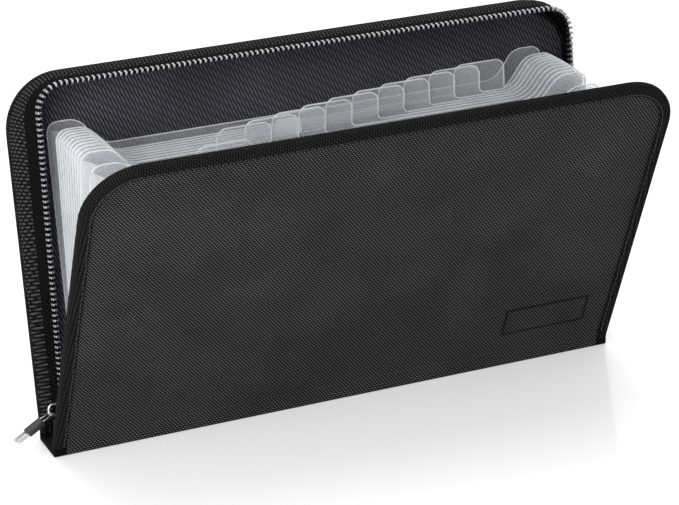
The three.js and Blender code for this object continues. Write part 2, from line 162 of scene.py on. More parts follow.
def dress(obj, *finishes):
    obj.data.materials.clear()
    for finish in finishes:
        obj.data.materials.append(finish)


def mount(obj, body, slot, *nodes):
    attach(obj, body)
    if nodes:
        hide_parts(*nodes)


# Each copy gets its own mesh, and all of them become one piece
def strew(pattern, places, name):
    copies = []
    for place in places:
        copy = pattern.copy()
        copy.data = pattern.data.copy()
        copy.matrix_world = place
        bpy.context.collection.objects.link(copy)
        copies.append(copy)
    deselect()
    for copy in copies:
        copy.select_set(True)
    bpy.context.view_layer.objects.active = copies[0]
    bpy.ops.object.join()
    joined = bpy.context.object
    joined.name = name
    bpy.ops.object.transform_apply(location=True, rotation=True, scale=True)
    bpy.data.objects.remove(pattern)
    return joined


# The rim line of a cover, measured from the left foot over the top to the right foot
def rimLine(half, top, radius, foot):
    return {"half": half, "top": top, "radius": radius, "foot": foot,
            "rise": top - radius - foot, "arc": math.pi / 2 * radius, "run": 2 * (half - radius)}


def rimPoint(rim, s):
    half, top, radius = rim["half"], rim["top"], rim["radius"]
    rise, arc, run = rim["rise"], rim["arc"], rim["run"]
    side = -1
    if s <= rise:
        return -half, rim["foot"] + s, -1.0, 0.0
    if s <= rise + arc:
        angle = (s - rise) / radius
    elif s < rise + arc + run:
        return s - rise - arc - run / 2, top, 0.0, 1.0
    elif s < rise + 2 * arc + run:
        side, angle = 1, (rise + 2 * arc + run - s) / radius
    else:
        return half, rim["foot"] + 2 * rise + 2 * arc + run - s, 1.0, 0.0
    out = Vector((side * math.cos(angle), math.sin(angle)))
    return (side * (half - radius + radius * math.cos(angle)),
            top - radius + radius * math.sin(angle), out.x, out.y)


def rimLength(rim):
    return 2 * rim["rise"] + 2 * rim["arc"] + rim["run"]


def rimDistance(rim, x, z):
    cornerX, cornerZ = rim["half"] - rim["radius"], rim["top"] - rim["radius"]
    if z <= cornerZ:
        along = z - rim["foot"]
    elif abs(x) <= cornerX:
        return rim["rise"] + rim["arc"] + rim["run"] / 2 + x
    else:
        along = rim["rise"] + rim["radius"] * math.atan2(z - cornerZ, abs(x) - cornerX)
    return along if x < 0 else rimLength(rim) - along


# A profile drawn at the left foot is carried up, round both corners and down again
def sweepRim(obj, rim, steps):
    editMesh(obj, "EDGE")
    bpy.ops.mesh.select_all(action="SELECT")
    rise, run = rim["rise"] * mm, rim["run"] * mm
    corner = (rim["half"] - rim["radius"]) * mm
    height = (rim["top"] - rim["radius"]) * mm
    bpy.ops.mesh.extrude_edges_move(TRANSFORM_OT_translate={"value": (0, 0, rise)})
    bpy.ops.mesh.spin(steps=steps, angle=math.radians(-90), center=(-corner, 0, height), axis=(0, 1, 0))
    bpy.ops.mesh.extrude_edges_move(TRANSFORM_OT_translate={"value": (run, 0, 0)})
    bpy.ops.mesh.spin(steps=steps, angle=math.radians(-90), center=(corner, 0, height), axis=(0, 1, 0))
    bpy.ops.mesh.extrude_edges_move(TRANSFORM_OT_translate={"value": (0, 0, -rise)})
    bpy.ops.mesh.select_all(action="SELECT")
    bpy.ops.mesh.remove_doubles(threshold=0.00002)
    bpy.ops.object.mode_set(mode="OBJECT")


# Turns an open band so that it faces away from the middle of the cover
def faceOutward(obj, rim):
    score = 0.0
    for face in obj.data.polygons:
        x, _, z = face.center / mm
        _, _, outX, outZ = rimPoint(rim, rimDistance(rim, x, z))
        score += face.area * (face.normal.x * outX + face.normal.z * outZ)
    if score < 0:
        editMesh(obj, "FACE")
        bpy.ops.mesh.select_all(action="SELECT")
        bpy.ops.mesh.flip_normals()
        bpy.ops.object.mode_set(mode="OBJECT")


def checkOutward(obj):
    editMesh(obj, "FACE")
    bpy.ops.mesh.select_all(action="SELECT")
    bpy.ops.mesh.normals_make_consistent(inside=False)
    bpy.ops.object.mode_set(mode="OBJECT")


# A socket that takes part in sums
class Wire:
    def __init__(self, finish, socket):
        self.finish = finish
        self.socket = socket

    def sum(self, operation, *values):
        return self.finish.node("ShaderNodeMath", {"operation": operation}, dict(enumerate(values)))

    def __add__(self, other):
        return self.sum("ADD", self, other)

    def __radd__(self, other):
        return self.sum("ADD", other, self)

    def __sub__(self, other):
        return self.sum("SUBTRACT", self, other)

    def __rsub__(self, other):
        return self.sum("SUBTRACT", other, self)

    def __mul__(self, other):
        return self.sum("MULTIPLY", self, other)

    def __rmul__(self, other):
        return self.sum("MULTIPLY", other, self)

    def __truediv__(self, other):
        return self.sum("DIVIDE", self, other)

    def floor(self):
        return self.sum("FLOOR", self)

    def fraction(self):
        return self.sum("FRACT", self)

    def ridge(self):  # 0 at whole numbers, 1 half way between them
        part = self.fraction()
        return 4 * part * (1 - part)

    def most(self, other):
        return self.sum("MAXIMUM", self, other)

    def size(self):
        return self.sum("ABSOLUTE", self)

    def power(self, other):
        return self.sum("POWER", self, other)

    def step(self, low, high):  # a soft step from 0 at low to 1 at high
        return self.finish.node("ShaderNodeMapRange", {"interpolation_type": "SMOOTHSTEP"},
                                {"Value": self, "From Min": low, "From Max": high})


# One material, with one method that makes any node
class Finish:
    def __init__(self, name):
        self.material = bpy.data.materials.new(name)
        self.material.use_nodes = True
        self.tree = self.material.node_tree
        self.shader = next(n for n in self.tree.nodes if n.type == "BSDF_PRINCIPLED")

    def node(self, kind, settings, inputs, output=0):
        made = self.tree.nodes.new(kind)
        for key, value in settings.items():
            setattr(made, key, value)
        for key, value in inputs.items():
            self.feed(made.inputs[key], value)
        return Wire(self, made.outputs[output])

    def feed(self, socket, value):
        if isinstance(value, Wire):
            self.tree.links.new(value.socket, socket)
        else:
            socket.default_value = value

    def set(self, **values):  # baseColor -> Base Color
        for key, value in values.items():
            words = "".join(" " + c if c.isupper() else c for c in key).title()
            self.feed(self.shader.inputs[words.replace("Ior", "IOR")], value)

    def split(self, vector):
        parts = self.tree.nodes.new("ShaderNodeSeparateXYZ")
        self.tree.links.new(vector.socket, parts.inputs[0])
        return [Wire(self, out) for out in parts.outputs]

    def cloth(self):  # millimetres along and across the cloth
        return self.split(self.node("ShaderNodeUVMap", {"uv_map": "cloth"}, {}))[:2]

    def place(self, turn=(0, 0, 0)):  # the object's own millimetres
        at = self.node("ShaderNodeTexCoord", {}, {}, "Object")
        return self.node("ShaderNodeMapping", {"vector_type": "POINT"},
                         {"Vector": at, "Rotation": turn, "Scale": [1 / mm] * 3})

    def noise(self, vector, scale, detail=2.0):
        return self.node("ShaderNodeTexNoise", {}, {"Vector": vector, "Scale": scale, "Detail": detail})

    def blend(self, factor, low, high):
        mix = self.tree.nodes.new("ShaderNodeMix")
        mix.data_type = "RGBA"
        self.feed(mix.inputs[0], factor)
        self.feed(mix.inputs[6], (*low, 1))
        self.feed(mix.inputs[7], (*high, 1))
        return Wire(self, mix.outputs[2])

    def bump(self, height, depth):
        relief = self.node("ShaderNodeBump", {}, {"Height": height, "Distance": depth * mm, "Strength": 1.0})
        self.set(normal=relief)


# Rows of thread humps, each row set half a hump along from the one below
def plainWeave(u, v, across, along):
    row = v / along
    hump = u / across + 0.5 * row.floor()
    return row.ridge() * (0.15 + 0.85 * hump.ridge())


def frameMask(u, v, spec):
    dx = (u - spec["x"]).size() - spec["halfWidth"]
    dz = (v - spec["z"]).size() - spec["halfHeight"]
    return (dx.most(dz)).size().step(spec["line"], spec["line"] * 0.4)


# low is the cloth's own near-black; high is a painted highlight colour for the thread tops
wovenShell = {"across": 1.5, "along": 0.95, "depth": 0.2,
              "low": (0.001, 0.001, 0.0012), "high": (0.19, 0.19, 0.193),
              "frame": {"x": 94.6, "z": 24.5, "halfWidth": 20.0, "halfHeight": 7.0, "line": 0.9}}


def makeShell(name, framed):
    finish = Finish(name)
    u, v = finish.cloth()
    weave = plainWeave(u, v, wovenShell["across"], wovenShell["along"])
    spot = finish.noise(finish.place(), 0.035, 3.0)
    height = weave
    # tint lightens the thread tops toward high: a painted highlight on the weave, with random tone from the
    # spot noise
    tint = weave.power(3.5) * (0.5 + 0.8 * spot)
    if framed:
        pressed = frameMask(u, v, wovenShell["frame"])
        height = weave * (1 - 0.75 * pressed) - pressed * 1.4
        # the pressed frame line loses most of the painted thread highlight: painted shade in the groove
        tint = tint * (1 - 0.7 * pressed)
    finish.set(baseColor=finish.blend(tint, wovenShell["low"], wovenShell["high"]),
               roughness=0.62 - 0.14 * weave, specularIorLevel=0.03)
    finish.bump(height + 3.0 * finish.noise(finish.place(), 0.016, 1.0), wovenShell["depth"])
    return finish.material


twill = {"pitch": 1.35, "dash": 5.0, "tilt": 22.0,
         "low": (0.007, 0.0068, 0.0095), "high": (0.15, 0.145, 0.175)}


def makeLining():
    finish = Finish("liningTwill")
    u, v = finish.cloth()
    c, s = math.cos(math.radians(twill["tilt"])), math.sin(math.radians(twill["tilt"]))
    across = (u * c + v * s) / twill["pitch"]
    along = (v * c - u * s) / twill["dash"] + 0.37 * across.floor()
    cord = across.ridge() * (0.7 + 0.3 * along.ridge())
    cloud = finish.noise(finish.place(), 0.03, 3.0)
    finish.set(baseColor=finish.blend(cord.power(2.0) * (0.5 + 0.9 * cloud), twill["low"], twill["high"]),
               roughness=0.78 - 0.12 * cord, specularIorLevel=0.08)
    finish.bump(cord, 0.16)
    return finish.material


ribbon = {"pitch": 1.15, "cross": 1.0, "low": (0.001, 0.001, 0.0012), "high": (0.03, 0.03, 0.031)}


def makeRibbon(name, pitch, cross, low, high, depth):
    finish = Finish(name)
    s, t = finish.cloth()
    rib = (s / pitch).ridge()
    stitch = (t / cross + 0.5 * (s / pitch).floor()).ridge()
    relief = rib * (0.25 + 0.75 * stitch)
    fuzz = finish.noise(finish.place(), 0.9, 2.0)
    # relief lightens the rib and stitch tops toward high: the rib pattern is the tape's own, the lighter
    # tops a painted highlight; fuzz adds random tone
    finish.set(baseColor=finish.blend(relief.power(2.0) * (0.5 + fuzz), low, high),
               roughness=0.8 - 0.2 * relief, specularIorLevel=0.02)
    finish.bump(relief, depth)
    return finish.material


def makePlain(name, low, high, roughness, metallic, scale, depth, specular=0.5):
    finish = Finish(name)
    grain = finish.noise(finish.place(), scale, 3.0)
    finish.set(baseColor=finish.blend(grain, low, high), roughness=roughness * (0.8 + 0.4 * grain),
               metallic=metallic, specularIorLevel=specular)
    finish.bump(grain, depth)
    return finish.material


film = {"tint": (0.80, 0.81, 0.86), "clear": 0.19, "edgeClear": 0.7}


def makeFilm(name, opacity, tint, roughness):
    finish = Finish(name)
    haze = finish.noise(finish.place(), 0.06, 2.0)
    streak = finish.noise(finish.place(turn=(0.2, 0, 0)), 0.11, 1.0)
    finish.set(baseColor=finish.blend(haze, tint, [min(1, c * 1.12) for c in tint]),
               roughness=roughness + 0.1 * streak, alpha=(opacity * 0.7) + opacity * 0.6 * haze,
               specularIorLevel=0.55)
    finish.bump(haze * 2.0 + streak, 0.5)
    finish.material.blend_method = "HASHED"
    return finish.material


shellFront = makeShell("wovenShellFront", True)
shellPlain = makeShell("wovenShellPlain", False)
lining = makeLining()
# each ribbon's high colour is a painted highlight on its rib tops
binding = makeRibbon("bindingRibbon", ribbon["pitch"], ribbon["cross"], ribbon["low"], ribbon["high"], 0.2)
webbing = makeRibbon("gussetWebbing", 1.6, 1.15, (0.001, 0.001, 0.0012), (0.07, 0.07, 0.072), 0.35)
zipTape = makeRibbon("zipTape", 0.95, 0.7, (0.0015, 0.0015, 0.0018), (0.012, 0.012, 0.0125), 0.14)
threadFinish = makePlain("stitchThread", (0.012, 0.012, 0.012), (0.035, 0.035, 0.036), 0.6, 0.0, 3.0, 0.03)
zipMetal = makePlain("zipMetal", (0.24, 0.24, 0.25), (0.52, 0.52, 0.54), 0.26, 1.0, 0.8, 0.02)
pullMetal = makePlain("pullMetal", (0.55, 0.55, 0.57), (0.78, 0.78, 0.80), 0.18, 1.0, 0.6, 0.015)
sleeveFinish = makePlain("pullSleeve", (0.006, 0.006, 0.006), (0.03, 0.03, 0.031), 0.5, 0.0, 1.6, 0.08)
filmClear = makeFilm("pocketFilm", film["clear"], film["tint"], 0.22)
# the edge finish is whiter and more opaque than the sheet: a painted highlight along the film's cut edges
filmEdgeHighlight = makeFilm("pocketFilmEdgeHighlight", film["edgeClear"], (0.88, 0.89, 0.92), 0.18)
labelFinish = makePlain("tabPaper", (0.80, 0.80, 0.80), (0.88, 0.88, 0.88), 0.8, 0.0, 0.9, 0.02, 0.2)
print("materials ready:", len(bpy.data.materials))


# Camera at the photograph's viewing angle, soft lights, pale floor
view = {"azimuth": 24.757, "elevation": 23.671, "at": (-0.44942, -0.98163, 0.53851),
        "focal": 2772.2, "width": 679}  # focal length and picture width in pixels
cameraData = bpy.data.cameras.new("camera")
cameraData.sensor_width = 36
cameraData.lens = view["focal"] / view["width"] * cameraData.sensor_width
camera = bpy.data.objects.new("camera", cameraData)
camera.location = view["at"]
camera.rotation_euler = (math.radians(90 - view["elevation"]), 0, math.radians(-view["azimuth"]))
bpy.context.collection.objects.link(camera)
bpy.context.scene.camera = camera

studio = {
    "key": {"at": (-0.9, -0.8, 1.3), "size": 1.0, "power": 9.0},
    "fill": {"at": (1.1, -0.9, 0.8), "size": 1.2, "power": 1.5},
    "top": {"at": (0.1, 0.5, 1.5), "size": 1.3, "power": 14.0},
    "side": {"at": (-0.42, -0.34, 0.2), "size": 0.3, "power": 1.4},
    "world": 0.5, "floorLift": 0.26,
}


def addLight(name, spec):
    data = bpy.data.lights.new(name, "AREA")
    data.energy, data.size = spec["power"], spec["size"]
    light = bpy.data.objects.new(name, data)
    light.location = spec["at"]
    light.rotation_euler = (Vector((0, 0, 0.07)) - Vector(spec["at"])).to_track_quat("-Z", "Y").to_euler()
    bpy.context.collection.objects.link(light)


for name in ("key", "fill", "top", "side"):
    addLight(name, studio[name])

scene = bpy.context.scene
scene.view_settings.view_transform = "Standard"
world = bpy.data.worlds.new("studio")
scene.world = world
world.use_nodes = True
tree = world.node_tree
soft = next(n for n in tree.nodes if n.type == "BACKGROUND")
soft.inputs["Color"].default_value = (1, 1, 1, 1)
soft.inputs["Strength"].default_value = studio["world"]
white = tree.nodes.new("ShaderNodeBackground")
white.inputs["Strength"].default_value = 1.0
rays = tree.nodes.new("ShaderNodeLightPath")
either = tree.nodes.new("ShaderNodeMath")
either.operation = "MAXIMUM"
tree.links.new(rays.outputs["Is Camera Ray"], either.inputs[0])
tree.links.new(rays.outputs["Is Transmission Ray"], either.inputs[1])
anyRay = tree.nodes.new("ShaderNodeMath")
anyRay.operation = "MAXIMUM"
tree.links.new(either.outputs[0], anyRay.inputs[0])
tree.links.new(rays.outputs["Is Glossy Ray"], anyRay.inputs[1])
backdrop = tree.nodes.new("ShaderNodeMixShader")
tree.links.new(anyRay.outputs[0], backdrop.inputs[0])
tree.links.new(soft.outputs[0], backdrop.inputs[1])
tree.links.new(white.outputs[0], backdrop.inputs[2])
tree.links.new(backdrop.outputs[0], next(n for n in tree.nodes if n.type == "OUTPUT_WORLD").inputs[0])

deselect()
bpy.ops.mesh.primitive_circle_add(vertices=64, radius=6, fill_type="NGON", location=(0, 0, 0))
floor = bpy.context.object
floor.name = "floor"
floorFinish = Finish("paleFloor")
floorFinish.set(baseColor=(0.9, 0.9, 0.9, 1), roughness=0.09, specularIorLevel=0.6)
lift = floorFinish.tree.nodes.new("ShaderNodeEmission")
path = floorFinish.node("ShaderNodeLightPath", {}, {}, "Is Camera Ray")
floorFinish.feed(lift.inputs["Strength"], path * studio["floorLift"])
both = floorFinish.tree.nodes.new("ShaderNodeAddShader")
out = next(n for n in floorFinish.tree.nodes if n.type == "OUTPUT_MATERIAL")
floorFinish.tree.links.new(floorFinish.shader.outputs[0], both.inputs[0])
floorFinish.tree.links.new(lift.outputs[0], both.inputs[1])
floorFinish.tree.links.new(both.outputs[0], out.inputs[0])
dress(floor, floorFinish.material)
print("camera, lights and floor ready")

rim = rimLine(folder["half"], folder["height"], folder["corner"], folder["foot"])


# Cover boards: a rounded card, crowned a little where the cloth is pulled over it
board = {"inset": 1.2, "half": 1.3, "crown": 0.75,
         "rings": (4.5, 4.0, 5.0, 6.0), "lifts": (0.0, 0.35, 0.45, 0.2)}


def makeBoard(side, finish):
    inset, flip = board["inset"], 1 if side == "front" else -1
    half, top = folder["half"] - inset, folder["height"] - inset
    obj = addCard(f"{side}_cover_board", -half, half, folder["foot"], top, -board["half"])
    roundCorners(obj, lambda p: p.z > top - 1, folder["corner"] - inset, 12)
    editMesh(obj, "FACE")
    bpy.ops.mesh.select_all(action="SELECT")
    bpy.ops.mesh.extrude_region_move(TRANSFORM_OT_translate={"value": (0, 2 * board["half"] * mm, 0)})
    outerFace = (0.1 - board["half"]) * mm
    choose(obj, "faces", lambda f: f.calc_center_median().y < outerFace and len(f.verts) > 8)
    for ring, lift in zip(board["rings"], board["lifts"]):
        bpy.ops.mesh.inset(thickness=ring * mm, depth=0, use_boundary=True)
        bpy.ops.transform.translate(value=(0, -lift * board["crown"] * mm, 0))
    bpy.ops.object.mode_set(mode="OBJECT")
    checkOutward(obj)
    writeCloth(obj, lambda p, n: (flip * p.x, p.z))
    smooth(obj, 30)
    settle(obj, coverPlace[side])
    dress(obj, finish)
    mount(obj, f"{side}_cover", "woven_shell", f"{side}_panel")
    return obj


makeBoard("front", shellFront)
makeBoard("back", shellPlain)


# Linings: the inner face, tucked under the binding
def makeLiningCard(side):
    edge, flip = folder["bindingReach"] - 1.0, 1 if side == "front" else -1
    half, top = folder["half"] - edge, folder["height"] - edge
    obj = addCard(f"{side}_lining_cloth", -half, half, folder["foot"], top, 1.6)
    roundCorners(obj, lambda p: p.z > top - 1, folder["corner"] - edge, 10)
    editMesh(obj, "FACE")
    bpy.ops.mesh.select_all(action="SELECT")
    bpy.ops.mesh.extrude_region_move(TRANSFORM_OT_translate={"value": (0, 0.42 * mm, 0)})
    bpy.ops.object.mode_set(mode="OBJECT")
    checkOutward(obj)
    writeCloth(obj, lambda p, n: (flip * p.x, p.z))
    settle(obj, coverPlace[side])
    dress(obj, lining)
    mount(obj, f"{side}_cover", "lining", f"{side}_lining")


for side in ("front", "back"):
    makeLiningCard(side)
print("boards and linings ready")


# Binding: a ribbed ribbon folded round the rim, its outer edge rounded
fold = {"reach": 5.2, "outer": 2.1, "wall": 0.55, "round": 1.3, "steps": 12}


def makeBinding(side):
    reach, outer = fold["reach"], fold["outer"]
    deselect()
    bpy.ops.mesh.primitive_plane_add(size=1, location=((-rim["half"] + reach / 2) * mm, 0, rim["foot"] * mm))
    obj = bpy.context.object
    obj.name = f"{side}_rim_ribbon"
    obj.scale = (reach * mm, 2 * outer * mm, 1)
    bpy.ops.object.transform_apply(location=True, rotation=True, scale=True)
    roundCorners(obj, lambda p: p.x < -rim["half"] + 1, fold["round"], 4)
    editMesh(obj, "EDGE")
    bpy.ops.mesh.select_all(action="SELECT")
    bpy.ops.mesh.delete(type="ONLY_FACE")
    choose(obj, "edges", lambda e: all(v.co.x / mm > -rim["half"] + reach - 0.1 for v in e.verts))
    bpy.ops.mesh.delete(type="EDGE")
    bpy.ops.object.mode_set(mode="OBJECT")
    sweepRim(obj, rim, fold["steps"])
    faceOutward(obj, rim)
    applyModifier(obj, "SOLIDIFY", thickness=fold["wall"] * mm, offset=-1)
    writeCloth(obj, lambda p, n: (rimDistance(rim, p.x, p.z), p.y + 0.5 * (abs(p.x) + p.z)))
    smooth(obj, 50)
    settle(obj, coverPlace[side])
    dress(obj, binding)
    mount(obj, f"{side}_cover", "binding", f"{side}_binding")


for side in ("front", "back"):
    makeBinding(side)

# Stitches along the inner edge of the binding
stitching = {"pitch": 3.1, "length": 2.3, "radius": 0.2, "inset": 4.3}


def makeStitch(name, length, radius):
    deselect()
    bpy.ops.mesh.primitive_cylinder_add(vertices=6, radius=radius * mm, depth=length * mm)
    obj = bpy.context.object
    obj.name = name
    editMesh(obj, "FACE")
    choose(obj, "faces", lambda f: abs(f.normal.z) > 0.9)
    bpy.ops.mesh.bevel(offset=radius * 0.6 * mm, segments=2, affect="EDGES")
    bpy.ops.object.mode_set(mode="OBJECT")
    smooth(obj, 80)
    return obj


def alongRim(line, s, inset, depth):
    x, z, outX, outZ = rimPoint(line, s)
    outward = Vector((outX, 0, outZ))
    inward = Vector((0, 1, 0))
    along = outward.cross(inward)
    turn = Matrix((outward, inward, along)).transposed().to_4x4()
    return Matrix.Translation((Vector((x, depth, z)) - outward * inset) * mm) @ turn


for side in ("front", "back"):
    count = int((rimLength(rim) - 6) / stitching["pitch"])
    places = []
    for i in range(count):
        s = 3 + i * stitching["pitch"]
        for depth in (-fold["outer"] - 0.05, fold["outer"] + 0.05):
            places.append(coverPlace[side] @ alongRim(rim, s, stitching["inset"], depth))
    pattern = makeStitch("stitch", stitching["length"], stitching["radius"])
    row = strew(pattern, places, f"{side}_binding_stitches")
    dress(row, threadFinish)
    mount(row, f"{side}_cover", "binding")
print("bindings and stitches ready")


# Gusset and zip tapes: bands between two rim lines
zipper = {"toothLength": 2.1, "bead": 0.7, "clearance": 1.8, "frontTip": 6.0, "tapeDepth": 4.5,
          "slope": (folder["closedGap"] - 2 * folder["hinge"]) / folder["height"], "kink": 44.0,
          "pitch": 2.32, "stop": 2.0,
          "frontInset": 7.0, "backInset": 2.6}
zipRim = {side: rimLine(folder["zipHalf"], folder["height"] - zipper[f"{side}Inset"],
                        folder["zipCorner"], folder["zipFoot"]) for side in ("front", "back")}
outerRim = rimLine(folder["half"] - 0.3, folder["height"] - 0.3, folder["corner"], folder["zipFoot"])


def tipDepth(side, up):
    if side == "front":
        return zipper["frontTip"]
    return 2 * folder["hinge"] + zipper["slope"] * up - zipper["frontTip"] - zipper["clearance"]


def chainFoot(side, up):
    return tipDepth(side, up) - zipper["toothLength"] - zipper["bead"]


def gussetEnd(up):
    return max(3.2, chainFoot("back", up) - zipper["tapeDepth"])


def rimWire(name, line, depth, steps=8):
    obj = addCard(name, -line["half"], line["half"], line["foot"], line["top"])
    roundCorners(obj, lambda p: p.z > line["top"] - 1, line["radius"], steps)
    editMesh(obj, "EDGE")
    bpy.ops.mesh.select_all(action="SELECT")
    bpy.ops.mesh.delete(type="ONLY_FACE")
    choose(obj, "edges", lambda e: middle(e).z < line["foot"] + 0.1)
    bpy.ops.mesh.delete(type="EDGE")
    for height in (zipper["kink"], 20.0, 90.0):
        bpy.ops.mesh.select_all(action="SELECT")
        bpy.ops.mesh.bisect(plane_co=(0, 0, height * mm), plane_no=(0, 0, 1))
    bpy.ops.object.mode_set(mode="OBJECT")
    for vertex in obj.data.vertices:
        vertex.co.y = depth(vertex.co.z / mm) * mm
    return obj


def blendRim(low, high, share):
    mixed = {k: low[k] + (high[k] - low[k]) * share for k in ("half", "top", "radius", "foot")}
    return rimLine(**mixed)


def makeBand(name, lines, depths, thickness, cuts, bulge=0.0):
    wires = [rimWire(f"{name}_{i}", line, depth) for i, (line, depth) in enumerate(zip(lines, depths))]
    deselect()
    for wire in wires:
        wire.select_set(True)
    bpy.context.view_layer.objects.active = wires[0]
    bpy.ops.object.join()
    obj = bpy.context.object
    obj.name = name
    editMesh(obj, "EDGE")
    bpy.ops.mesh.select_all(action="SELECT")
    bpy.ops.mesh.bridge_edge_loops(number_cuts=cuts, interpolation="LINEAR")
    bpy.ops.object.mode_set(mode="OBJECT")
    faceOutward(obj, lines[0])
    if bulge:
        for vertex in obj.data.vertices:
            up = vertex.co.z / mm
            near, far = depths[0](up), depths[1](up)
            share = min(1, max(0, (vertex.co.y / mm - near) / max(0.1, far - near)))
            _, _, outX, outZ = rimPoint(lines[0], rimDistance(lines[0], vertex.co.x / mm, up))
            swell = bulge * 4 * share * (1 - share) * mm
            vertex.co.x += outX * swell
            vertex.co.z += outZ * swell
    writeCloth(obj, lambda p, n: (rimDistance(lines[0], p.x, p.z), p.y))
    applyModifier(obj, "SOLIDIFY", thickness=thickness * mm, offset=-1)
    smooth(obj, 50)
    return obj


gusset = {"share": 0.6, "thickness": 1.3, "bulge": 1.3, "tapeThickness": 0.6,
          "lipOverlap": 0.03, "lipThickness": 0.7, "lipBulge": 0.3}
middleRim = blendRim(outerRim, zipRim["back"], gusset["share"])
wallStart = folder["innerFace"] + 0.15


def webEnd(up):
    return wallStart + (gussetEnd(up) - wallStart) * gusset["share"]


band = makeBand("gusset_webbing", (outerRim, middleRim), (lambda up: wallStart, webEnd),
                gusset["thickness"], 5, gusset["bulge"])
applyModifier(band, "BEVEL", width=0.3 * mm, segments=2, limit_method="ANGLE")
settle(band, coverPlace["back"])
dress(band, webbing)
mount(band, "back_cover", "webbing", "back_gusset")

lipRim = blendRim(outerRim, zipRim["back"], gusset["share"] - gusset["lipOverlap"])
inner = makeBand("gusset_lip", (lipRim, zipRim["back"]),
                 (lambda up: webEnd(up) - 0.5, lambda up: gussetEnd(up) + 0.2),
                 gusset["lipThickness"], 3, gusset["lipBulge"])
settle(inner, coverPlace["back"])
dress(inner, zipTape)
mount(inner, "back_cover", "webbing")

for side in ("front", "back"):
    line = zipRim[side]
    start = (lambda up: wallStart) if side == "front" else (lambda up: gussetEnd(up) + 0.1)
    strip = makeBand(f"{side}_tape_strip", (line, line),
                     (start, lambda up, side=side: chainFoot(side, up) + 0.35),
                     gusset["tapeThickness"], 2)
    settle(strip, coverPlace[side])
    dress(strip, zipTape)
    mount(strip, f"{side}_cover", "zip_tape", f"{side}_zip_tape")
print("gusset and tapes ready")


# One tooth: a clamp on the bead, a waist and a rounded head
tooth = {"width": 1.15, "thickness": 2.4, "clamp": 1.1,
         "steps": ((0.75, (0.62, 1, 0.8)), (0.35, (1.25, 1, 1.2)), (0.6, (0.75, 1, 0.7)))}  # reach and scale


def makeTooth():
    obj = addBox("tooth", (tooth["thickness"], tooth["clamp"], tooth["width"]), (0, tooth["clamp"] / 2, 0))
    editMesh(obj, "FACE")
    choose(obj, "faces", lambda f: f.normal.y > 0.9)
    for reach, scale in tooth["steps"]:
        bpy.ops.mesh.extrude_region_move(TRANSFORM_OT_translate={"value": (0, reach * mm, 0)})
        bpy.ops.transform.resize(value=scale)
    bpy.ops.object.mode_set(mode="OBJECT")
    applyModifier(obj, "BEVEL", width=0.14 * mm, segments=1, limit_method="ANGLE")
    smooth(obj, 40)
    return obj


for side in ("front", "back"):
    line = zipRim[side]
    first = zipper["stop"] + (zipper["pitch"] / 2 if side == "front" else 0)
    count = int((rimLength(line) - first - zipper["stop"]) / zipper["pitch"])
    places = []
    for i in range(count):
        s = first + (i + 0.25) * zipper["pitch"]
        up = rimPoint(line, s)[1]
        places.append(coverPlace[side] @ alongRim(line, s, 0, chainFoot(side, up)))
    row = strew(makeTooth(), places, f"{side}_teeth_row")
    dress(row, zipMetal)
    mount(row, f"{side}_cover", "zip_metal", f"{side}_zip_teeth")
print("teeth ready")


# Bottom stop, slider, bail and pull
def carry(points):  # the CAD node's middle, in millimetres
    low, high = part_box(points)
    return (low + high) / 2 / mm, (high - low) / mm


stopAt, stopSize = carry("zip_bottom_stop")
stop = addBox("bottom_stop", stopSize, stopAt)
applyModifier(stop, "BEVEL", width=0.35 * mm, segments=3)
smooth(stop, 40)
dress(stop, zipMetal)
mount(stop, "back_cover", "zip_metal", "zip_bottom_stop")

slider = {"length": 8.0, "wall": 0.9, "gap": 1.55, "start": 0.9, "depth": 3.6,
          "bailHeight": 4.6, "bailLength": 6.0, "bailRadius": 0.6, "bailBend": 1.6}
pull = {"pivot": (-127.2, 2.845, 14.387), "sag": 1.2, "droop": 29.0,
        "length": 19.5, "width": 5.4, "thickness": 1.2, "rail": 1.0,
        "sleeveStart": 5.2, "sleeveLength": 8.0}


def sliderFrame():  # on the left stretch of the back chain: x out of the folder, y towards the front, z up
    slope = math.atan(zipper["slope"])
    up = folder["zipFoot"] + slider["start"] + slider["length"] / 2
    local = Vector((folder["zipHalf"], tipDepth("back", up), up))
    at = coverPlace["back"] @ (local * mm)
    turn = coverPlace["back"].to_3x3().to_4x4() @ Matrix.Rotation(-slope, 4, "X")
    return Matrix.Translation(at) @ turn


def makeSliderPlate(x):
    plate = addBox("slider_plate", (slider["wall"], slider["depth"], slider["length"]), (x, -1.2, 0))
    editMesh(plate, "EDGE")
    choose(plate, "edges", lambda e: abs(middle(e).y + 1.2) > 1.7 and abs(middle(e).z) > 3.9)
    bpy.ops.mesh.bevel(offset=1.1 * mm, segments=4, affect="EDGES")
    bpy.ops.object.mode_set(mode="OBJECT")
    return plate


plateMiddle = slider["gap"] + slider["wall"] / 2
plates = [makeSliderPlate(plateMiddle), makeSliderPlate(-plateMiddle)]
nose = addBox("slider_nose", (2 * slider["gap"] + 0.4, 0.9, slider["length"] * 0.8), (0, 0.8, 0))
deselect()
for obj in plates + [nose]:
    obj.select_set(True)
bpy.context.view_layer.objects.active = plates[0]
bpy.ops.object.join()
sliderBody = bpy.context.object
sliderBody.name = "slider_body"
applyModifier(sliderBody, "BEVEL", width=0.25 * mm, segments=2, limit_method="ANGLE")
smooth(sliderBody, 40)
settle(sliderBody, sliderFrame())
dress(sliderBody, zipMetal)
mount(sliderBody, "slider", "zip_metal", "zip_slider")


